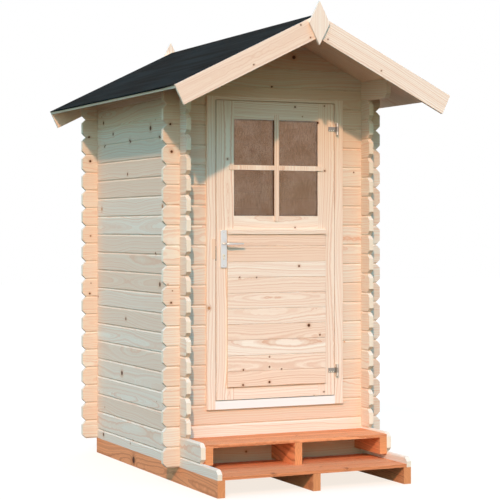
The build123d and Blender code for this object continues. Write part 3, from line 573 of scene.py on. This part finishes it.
class OUTHOUSE_OT_door(bpy.types.Operator):
    """Gives the door frame and the leaf their spruce, glass and metal"""

    bl_idname = "outhouse.door"
    bl_label = "Door"

    def execute(self, context):
        look = planed_spruce()
        settings = context.scene.outhouse_door
        # A row is twice as wide as the jamb or the stile stands from the middle of the doorway, so that each
        # of the two lies in a row of its own.
        low, high = box("door_jambs")
        dress(timber("planed_spruce_jambs", "ZXY", 2 * (high[0] - millimetres(27)), 0.0, abs(FRONT), 401.5,
                     look), "door_jambs")
        dress(timber("planed_spruce_head", "XZY", 0.2, low[2], abs(FRONT), 407.5, look), "door_head")
        low, high = box("door_stiles")
        face = abs(low[1])
        dress(timber("planed_spruce_stiles", "ZXY", 2 * (high[0] - millimetres(54)), 0.0, face, 411.5, look,
                     knots=0.1, swing=0.5, chosen=((2.067, 0.271, 6), (2.167, 0.314, 4), (1.785, 0.316, 5),
                                                   (1.844, -0.31, 4), (0.485, 0.311, 4))),
              "door_stiles")
        dress(timber("planed_spruce_rails", "XZY", 0.8, 0.3, face, 421.5, look, knots=0.1, swing=0.6,
                     chosen=((0.121, 2.155, 5), (0.121, 1.452, 4), (0.245, 0.463, 4))),
              "door_rails", "weather_strip")
        # Where the door's boards meet the stiles, their end faces take a darker colour than end grain
        # elsewhere: painted shade, drawn as a dark line in that joint.
        low, high = box("door_boards")
        boards = dict(look, end=linear("#CFAE86"))
        pitch = board_pitch(low, high, 2, 10, 1)
        dress(timber("planed_spruce_door_boards", "XZY", pitch, low[2], abs(low[1]), 431.5, boards, knots=0.2,
                     chosen=((0.141, 1.227, 6), (-0.239, 1.166, 4), (-0.132, 1.164, 4), (0.205, 0.88, 9),
                             (0.278, 0.822, 5), (-0.05, 0.646, 5), (-0.216, 0.634, 5), (0.028, 0.631, 4),
                             (-0.05, 0.558, 7), (-0.218, 0.548, 6))), "door_boards")
        dress(timber("planed_spruce_glazing_bars", "ZXY", 0.1, -0.05, face, 451.5, look, knots=0.0,
                     swing=0.2), "glazing_bars")

        # Bronze mirror film on acrylic: it mirrors a warm share of the sky, a little uneven in clouds and
        # along the rolling direction, and lets the rest through darkened.
        material, tree = new_material("bronze_film_acrylic")
        place = add(tree, "ShaderNodeTexCoord")
        cloud = add(tree, "ShaderNodeTexNoise", {
            "Vector": place.outputs["Object"], "Scale": 7.0, "Detail": 6.0})
        rolled = add(tree, "ShaderNodeVectorMath", {0: place.outputs["Object"], 1: (240.0, 1.0, 40.0)},
                     operation="MULTIPLY")
        streak = add(tree, "ShaderNodeTexNoise", {"Vector": rolled, "Scale": 1.0, "Detail": 2.0})
        both = add(tree, "ShaderNodeMath", {0: cloud, 1: streak}, operation="ADD")
        depth = add(tree, "ShaderNodeMapRange", {0: both, 1: 0.8, 2: 1.25})
        mirror = add(tree, "ShaderNodeMix", {
            0: depth, 1: tuple(settings.glass_film), 2: tuple(settings.glass_haze)}, data_type="RGBA")
        through = add(tree, "ShaderNodeBsdfTransparent", {"Color": tuple(settings.glass_tint)})
        shine = add(tree, "ShaderNodeBsdfGlossy", {"Color": mirror, "Roughness": 0.1})
        surface = add(tree, "ShaderNodeAddShader", {0: through, 1: shine})
        add(tree, "ShaderNodeOutputMaterial", {"Surface": surface})
        dress(material, "door_glass")

        # Gloss paint on wood, brushed along the threshold.
        material, tree = new_material("white_gloss_paint")
        place = add(tree, "ShaderNodeTexCoord")
        drawn = add(tree, "ShaderNodeVectorMath", {0: place.outputs["Object"], 1: (6.0, 900.0, 900.0)},
                    operation="MULTIPLY")
        brush = add(tree, "ShaderNodeTexNoise", {"Vector": drawn, "Scale": 1.0, "Detail": 3.0})
        sheen = add(tree, "ShaderNodeMapRange", {0: brush, 3: 0.25, 4: 0.5})
        relief = add(tree, "ShaderNodeBump", {"Height": brush, "Strength": 0.3, "Distance": 0.0003})
        surface = add(tree, "ShaderNodeBsdfPrincipled", {
            "Base Color": tuple(settings.threshold_paint), "Roughness": sheen, "Normal": relief})
        add(tree, "ShaderNodeOutputMaterial", {"Surface": surface})
        dress(material, "threshold")

        # Each metal: its colour, its roughness, how many marks its finish has in a metre each way, and the
        # pieces made of it. The aluminium is brushed along its height, so its marks are long that way, and
        # satin from the anodising. Zinc plating is duller and a little mottled, its yellow passivation is
        # warm, and the nickel on the brass is the smoothest. The near-black is the faceplate's own black, and
        # painted shade for the keyway's gap.
        for name, code, rough, marks, nodes in (
            ("anodised_aluminium", "#DCDCDA", 0.3, (400.0, 400.0, 12.0), ("handle_plates", "lever_handle")),
            ("zinc_plated_steel", "#CFC8BE", 0.38, (160.0, 160.0, 160.0), ("hinge_frame_halves",)),
            # The hinge's leaf halves take a darker grey than its frame halves: painted shade on the straps.
            ("zinc_steel_painted_shade", "#9C968E", 0.42, (160.0, 160.0, 160.0), ("hinge_leaf_halves",)),
            ("yellow_zinc_steel", "#E8CAAF", 0.42, (200.0, 200.0, 200.0), ("strike_plate",)),
            ("nickel_plated_brass", "#E2D9C6", 0.25, (300.0, 300.0, 300.0), ("lock_cylinder",)),
            ("keyway_shade_and_faceplate_black", "#1C1A18", 0.5, (500.0, 500.0, 500.0), ()),
        ):
            material, tree = new_material(name)
            place = add(tree, "ShaderNodeTexCoord")
            drawn = add(tree, "ShaderNodeVectorMath", {0: place.outputs["Object"], 1: marks},
                        operation="MULTIPLY")
            grain = add(tree, "ShaderNodeTexNoise", {"Vector": drawn, "Scale": 1.0, "Detail": 3.0})
            sheen = add(tree, "ShaderNodeMapRange", {0: grain, 3: rough - 0.08, 4: rough + 0.12})
            relief = add(tree, "ShaderNodeBump", {"Height": grain, "Strength": 0.2, "Distance": 0.0001})
            surface = add(tree, "ShaderNodeBsdfPrincipled", {
                "Base Color": linear(code), "Metallic": 1.0, "Roughness": sheen, "Normal": relief})
            add(tree, "ShaderNodeOutputMaterial", {"Surface": surface})
            dress(material, *nodes)
        return {"FINISHED"}


class OUTHOUSE_OT_furniture(bpy.types.Operator):
    """Shapes the handle, its plates and the lock cylinder on both faces of the door"""

    bl_idname = "outhouse.furniture"
    bl_label = "Handle and lock"

    def execute(self, context):
        aluminium = bpy.data.materials["anodised_aluminium"]
        zinc = bpy.data.materials["zinc_plated_steel"]
        brass = bpy.data.materials["nickel_plated_brass"]
        dark = bpy.data.materials["keyway_shade_and_faceplate_black"]
        low, high = box("handle_plates")
        middle = (low + high) / 2
        door_low, door_high = box("door_stiles")
        leaf_middle = (door_low[1] + door_high[1]) / 2
        thick = door_low[1] - low[1]
        half_height = (high[2] - low[2]) / 2

        def both_faces(outer):
            """A shape on the outer face of the door, and its mirror image on the inner one."""
            return joined(outer, flipped(*outer, 1, leaf_middle))

        outer = repeated(*oblong((high[0] - low[0]) / 2, half_height, thick, millimetres(2)),
                         [(middle[0], door_low[1], middle[2])])
        plates = new_piece("lever_back_plates", "door", aluminium, *both_faces(outer), "handle_aluminium")
        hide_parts("handle_plates")

        lever_low, lever_high = box("lever_handle")
        neck = millimetres(8.5)
        arm = millimetres(8)
        turn = millimetres(16)
        level = (lever_low[2] + lever_high[2]) / 2
        start = door_low[1] - thick
        out = start - lever_low[1] - arm
        length = lever_high[0] - middle[0]
        straight = out - turn
        bend = turn * np.pi / 2
        total = straight + bend + length - turn

        def lever(u, v):
            # A round bar out from the plate, round a quarter bend and along the door, slimmer towards its
            # rounded end.
            run = total * np.interp(u, [0.0, 0.02, 0.96, 1.0], [0.0, 0.02, 0.995, 1.0])
            angle = np.clip((run - straight) / turn, 0, np.pi / 2)
            beyond = np.maximum(run - straight - bend, 0)
            x = turn * (1 - np.cos(angle)) + beyond
            y = np.minimum(run, straight) + turn * np.sin(angle)
            share = np.clip(run / total, 0, 1)
            depth = np.interp(share, [0.0, 0.3, 1.0], [neck, arm, millimetres(5)])
            tall = np.interp(share, [0.0, 0.3, 1.0], [neck, arm, millimetres(4.5)])
            round_off = np.sqrt(np.clip(1 - ((u - 0.96) / 0.04).clip(0, 1) ** 2, 0, 1))
            round_off = np.where(u <= 0, 0.0, round_off)
            swing = 2 * np.pi * v
            side = depth * np.cos(swing) * round_off
            return (middle[0] + x + side * np.cos(angle),
                    start - y + side * np.sin(angle),
                    level + tall * np.sin(swing) * round_off)

        levers = new_piece("lever_arms", "handle", aluminium, *both_faces(skin(lever, 72, 24)),
                           "handle_aluminium")
        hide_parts("lever_handle")

        lock_low, lock_high = box("lock_cylinder")
        barrel_level = (lock_low[2] + lock_high[2]) / 2 + millimetres(5)
        face = lock_low[1]

        def cylinder(u, v):
            # The usual lock shape: a round barrel over a narrower tail, as the wider of two outlines.
            angle = 2 * np.pi * v
            barrel = millimetres(8.5)
            sine, cosine = np.sin(angle), np.cos(angle)
            tail = np.where(sine < 0, np.minimum(millimetres(5) / np.maximum(np.abs(cosine), 1e-6),
                                                 millimetres(23) / np.maximum(-sine, 1e-6)), 0.0)
            reach = np.maximum(barrel, tail) * np.interp(u, [0.0, 0.5, 0.7, 1.0], [0.0, 0.92, 1.0, 1.0])
            depth = np.interp(u, [0.0, 0.5, 0.7, 1.0], [0.0, 0.0, millimetres(0.6), start - face])
            return middle[0] + reach * cosine, face + depth, barrel_level + reach * sine

        locks = new_piece("profile_cylinders", "door", brass, *both_faces(skin(cylinder, 10, 48)),
                          "lock_brass")
        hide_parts("lock_cylinder")

        def keyway(u, v):
            # A flat slot, as a thin dark oval just proud of the barrel's face: painted shade for the gap.
            angle = 2 * np.pi * v
            return (middle[0] + millimetres(1.1) * np.cos(angle) * u, face - millimetres(0.1) + 0 * u,
                    barrel_level + millimetres(4.2) * np.sin(angle) * u)

        new_piece("keyways", "door", dark, *both_faces(skin(keyway, 1, 16)), "lock_brass")

        outer = repeated(*screw_head(millimetres(3.5), millimetres(0.8)), [
            (middle[0], start, middle[2] + way * (half_height - millimetres(14))) for way in (-1, 1)])
        new_piece("plate_screws", "door", zinc, *both_faces(outer), "handle_aluminium")

        # The lock's own face in the leaf's edge, and the latch that stands out of it below the lever: half
        # their width and height, how far they stand out, and their level. They are turned to look along -X.
        for name, material, half_width, half_tall, stands, tall in (
            ("lock_faceplate", dark, 11, 41, 0.8, middle[2] - millimetres(26)),
            ("latch_bolt", zinc, 6, 9, 2.6, level - millimetres(27)),
        ):
            points, faces = oblong(millimetres(half_width), millimetres(half_tall), millimetres(stands),
                                   millimetres(stands / 2))
            turned = np.stack([door_low[0] + points[:, 1], leaf_middle - points[:, 0], tall + points[:, 2]],
                              axis=-1)
            new_piece(name, "door", material, turned, faces, "lock_brass")

        # Three screws along the lower edge of each hinge strap, 13 mm apart.
        strap_low, strap_high = box("hinge_leaf_halves")
        knuckle = millimetres(14)
        seat = door_low[1] - millimetres(3)
        screws = repeated(*screw_head(millimetres(3.6), millimetres(1.2)), [
            (strap_low[0] + millimetres(6 + 13 * number), seat, hinge - millimetres(8))
            for hinge in (strap_low[2] + knuckle, strap_high[2] - knuckle) for number in range(3)])
        new_piece("strap_screws", "door", brass, *screws, "hinge_zinc")
        return {"FINISHED"}


class OUTHOUSE_OT_beads(bpy.types.Operator):
    """Runs glazing beads round the pane on the inside of the door"""

    bl_idname = "outhouse.beads"
    bl_label = "Glazing beads"

    def execute(self, context):
        settings = context.scene.outhouse_door
        glass_low, glass_high = box("door_glass")
        seat = millimetres(6)
        half = glass_high[0] - seat
        middle = (glass_low[2] + glass_high[2]) / 2
        tall = (glass_high[2] - glass_low[2]) / 2 - seat
        size = settings.bead_size
        face = glass_low[1] - millimetres(0.3)

        def bead(u, v):
            # A quarter round: v goes round the section and u round the four mitred corners.
            corner = np.round(u * 4).astype(int) % 4
            way_x = np.where((corner == 0) | (corner == 3), -1.0, 1.0)
            way_z = np.where((corner == 0) | (corner == 1), -1.0, 1.0)
            angle = np.pi / 2 * np.clip(v * 10 / 8, 0, 1)
            inward = np.where(v < 0.85, size * np.cos(angle), 0.0)
            forward = np.where(v < 0.85, size * np.sin(angle), 0.0)
            return way_x * (half - inward), face - forward, middle + way_z * (tall - inward)

        wood = bpy.data.materials["planed_spruce_glazing_bars"]
        inner = flipped(*skin(bead, 4, 10), 1, (glass_low[1] + glass_high[1]) / 2)
        new_piece("glazing_beads", "door", wood, *inner, "leaf_wood", smooth=False)
        return {"FINISHED"}


def background_rays(tree):
    """1 where the camera, a reflection or glass looks at the background, else 0."""
    path = add(tree, "ShaderNodeLightPath")
    seen = add(tree, "ShaderNodeMath", {0: path.outputs["Is Camera Ray"], 1: path.outputs["Is Glossy Ray"]},
               operation="MAXIMUM")
    return add(tree, "ShaderNodeMath", {0: seen, 1: path.outputs["Is Transmission Ray"]}, operation="MAXIMUM")


class OUTHOUSE_OT_studio(bpy.types.Operator):
    """Sets up the floor, the lights and the camera"""

    bl_idname = "outhouse.studio"
    bl_label = "Studio"

    def execute(self, context):
        settings = context.scene.outhouse_studio
        scene = context.scene
        scene.view_settings.view_transform = "Standard"

        # A sheet of pale paper, 60 m wide. The camera, reflections and glass see it near white.
        reach = 30.0
        mesh = bpy.data.meshes.new("studio_floor")
        mesh.from_pydata([(-reach, -reach, 0), (reach, -reach, 0), (reach, reach, 0), (-reach, reach, 0)], [],
                         [(0, 1, 2, 3)])
        floor = bpy.data.objects.new("studio_floor", mesh)
        scene.collection.objects.link(floor)
        material, tree = new_material("pale_studio_floor")
        seen = background_rays(tree)
        # The sky is bluer than the sun, so the floor's own glow is a little warm to leave the shadow grey.
        colour = add(tree, "ShaderNodeMix", {0: seen, 1: linear("#3C3226"), 2: linear("#7C7C7C")},
                     data_type="RGBA")
        paper = add(tree, "ShaderNodeBsdfDiffuse", {"Color": colour})
        glow = add(tree, "ShaderNodeEmission", {"Color": (0.88, 0.80, 0.72), "Strength": seen})
        surface = add(tree, "ShaderNodeAddShader", {0: paper, 1: glow})
        add(tree, "ShaderNodeOutputMaterial", {"Surface": surface})
        mesh.materials.append(material)

        world = bpy.data.worlds.new("studio_sky")
        world.use_nodes = True
        tree = world.node_tree
        tree.nodes.clear()
        seen = background_rays(tree)
        way = add(tree, "ShaderNodeTexCoord")
        rise = add(tree, "ShaderNodeSeparateXYZ", {0: way.outputs["Generated"]})
        height = add(tree, "ShaderNodeMapRange", {0: rise.outputs[2], 1: 0.02, 2: 0.45},
                     interpolation_type="SMOOTHSTEP")
        level = add(tree, "ShaderNodeMapRange", {
            0: height, 3: 0.66 * settings.sky_strength, 4: 1.6 * settings.sky_strength})
        # The horizon is cooler on the left, away from the sun-lit side.
        leftward = add(tree, "ShaderNodeMapRange", {0: rise.outputs[0], 1: -0.3, 2: -0.9})
        horizon = add(tree, "ShaderNodeMix", {0: leftward, 1: linear("#E4F2A8"), 2: (0.82, 1.4, 1.2)},
                      data_type="RGBA")
        haze = add(tree, "ShaderNodeMix", {0: height, 1: horizon, 2: linear("#7CCBFF")}, data_type="RGBA")
        strength = add(tree, "ShaderNodeMix", {0: seen, 1: level, 2: 1.0}, data_type="FLOAT")
        tint = add(tree, "ShaderNodeMix", {0: seen, 1: haze, 2: (1.0, 1.0, 1.0)}, data_type="RGBA")
        sky = add(tree, "ShaderNodeBackground", {"Color": tint, "Strength": strength})
        add(tree, "ShaderNodeOutputWorld", {"Surface": sky})
        scene.world = world

        # A low warm sun from the front left, a wide soft lamp beside it, and a warm one behind on the right:
        # strength, apparent size in degrees, colour, height and bearing.
        for name, power, spread, code, height, bearing in (
            ("key_light", settings.sun_strength, 2.0, "#FFCBA8", settings.sun_height, settings.sun_bearing),
            ("front_fill", 0.76, 75.0, "#FFFCE2", math.radians(28), math.radians(35)),
            ("back_fill", 1.2, 60.0, "#FFC9A0", math.radians(20), math.radians(-140)),
        ):
            lamp = bpy.data.lights.new(name, "SUN")
            lamp.energy = power
            lamp.angle = math.radians(spread)
            lamp.color = linear(code)
            light = bpy.data.objects.new(name, lamp)
            light.rotation_euler = (math.pi / 2 - height, 0.0, -bearing)
            scene.collection.objects.link(light)

        # A soft lamp inside, so that the room isn't black through an open door.
        lamp = bpy.data.lights.new("room_light", "POINT")
        lamp.energy = 9.0
        lamp.shadow_soft_size = 0.4
        lamp.color = linear("#F4F2F0")
        room = bpy.data.objects.new("room_light", lamp)
        room.location = (-0.1, 0.15, 1.7)
        scene.collection.objects.link(room)

        # A long lens at chest height, 10 m away in front on the left, held level.
        camera = bpy.data.cameras.new("camera")
        camera.sensor_width = 36.0
        camera.lens = 114.26
        camera.shift_y = -0.0428
        view = bpy.data.objects.new("camera", camera)
        view.location = (-3.998, -9.033, 1.4455)
        view.rotation_euler = (math.pi / 2, 0.0, math.radians(-24.77))
        scene.collection.objects.link(view)
        scene.camera = view
        return {"FINISHED"}


class OUTHOUSE_PT_panel(bpy.types.Panel):
    """Lists the pieces of the outhouse"""

    bl_idname = "OUTHOUSE_PT_panel"
    bl_label = "Log Outhouse"
    bl_space_type = "VIEW_3D"
    bl_region_type = "UI"
    bl_category = "Outhouse"

    def draw(self, context):
        for group in GROUPS:
            column = self.layout.column(align=True)
            settings = getattr(context.scene, group)
            for name in settings.bl_rna.properties.keys():
                if name not in ("rna_type", "name"):
                    column.prop(settings, name)
        for operator in OPERATORS:
            self.layout.operator(operator.bl_idname)


GROUPS = {
    "outhouse_wood": OuthouseWood,
    "outhouse_roofing": OuthouseRoofing,
    "outhouse_door": OuthouseDoor,
    "outhouse_studio": OuthouseStudio,
}
OPERATORS = (
    OUTHOUSE_OT_walls,
    OUTHOUSE_OT_steps,
    OUTHOUSE_OT_roof,
    OUTHOUSE_OT_door,
    OUTHOUSE_OT_furniture,
    OUTHOUSE_OT_beads,
    OUTHOUSE_OT_studio,
)


def register():
    """Registers the classes and hangs the settings on the scene."""
    for group in (*GROUPS.values(), *OPERATORS, OUTHOUSE_PT_panel):
        bpy.utils.register_class(group)
    for name, group in GROUPS.items():
        setattr(bpy.types.Scene, name, PointerProperty(type=group))


def unregister():
    """Undoes register."""
    for name in GROUPS:
        delattr(bpy.types.Scene, name)
    for group in reversed((*GROUPS.values(), *OPERATORS, OUTHOUSE_PT_panel)):
        bpy.utils.unregister_class(group)


def main():
    """Builds every piece in order."""
    register()
    for operator in OPERATORS:
        area, name = operator.bl_idname.split(".")
        getattr(getattr(bpy.ops, area), name)()


if __name__ == "__main__":
    main()
